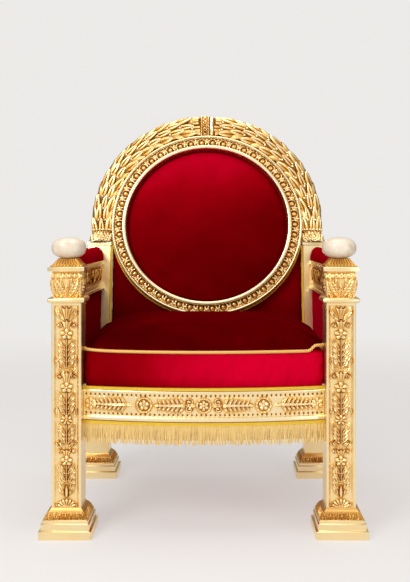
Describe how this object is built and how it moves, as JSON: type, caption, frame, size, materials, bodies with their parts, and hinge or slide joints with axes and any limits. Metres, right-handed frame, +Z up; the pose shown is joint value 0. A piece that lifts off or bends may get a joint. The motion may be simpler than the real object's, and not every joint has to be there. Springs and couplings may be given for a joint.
{
  "type": "throne",
  "caption": "Gilded carved throne with a round back in a laurel arch, square panelled posts topped with balls, and red velvet upholstery with braid and fringe.",
  "frame": {"origin": "on the floor, under the middle of the throne's box", "axes": "+Z up, -Y is the front of the seat, +X is to the right as seen from the front"},
  "size_m": [0.871, 0.7866, 1.2162],
  "materials": {
    "gilding": "carved wood, water gilt and burnished, darker in the hollows",
    "velvet": "deep red silk velvet with a soft sheen",
    "braid": "gold thread braid, cord and bullion fringe",
    "ivory": "polished cream stone or ivory, faintly mottled"
  },
  "bodies": {
    "root": {"front_post_left": "gilding", "front_post_right": "gilding", "back_post_left": "gilding", "back_post_right": "gilding", "arm_rail_left": "gilding", "arm_rail_right": "gilding", "seat_rail_left": "gilding", "seat_rail_right": "gilding", "seat_rail_front": "gilding", "seat_rail_back": "gilding", "ring_frame": "gilding", "laurel_arch": "gilding", "arm_pad_left": "velvet", "arm_pad_right": "velvet", "side_panel_left": "velvet", "side_panel_right": "velvet", "seat_cushion": "velvet", "back_panel": "velvet", "back_medallion": "velvet", "gimp_upper": "braid", "gimp_lower": "braid", "seat_piping": "braid", "fringe_front": "braid", "fringe_left": "braid", "fringe_right": "braid", "ball_left": "ivory", "ball_right": "ivory"}
  },
  "joints": []
}
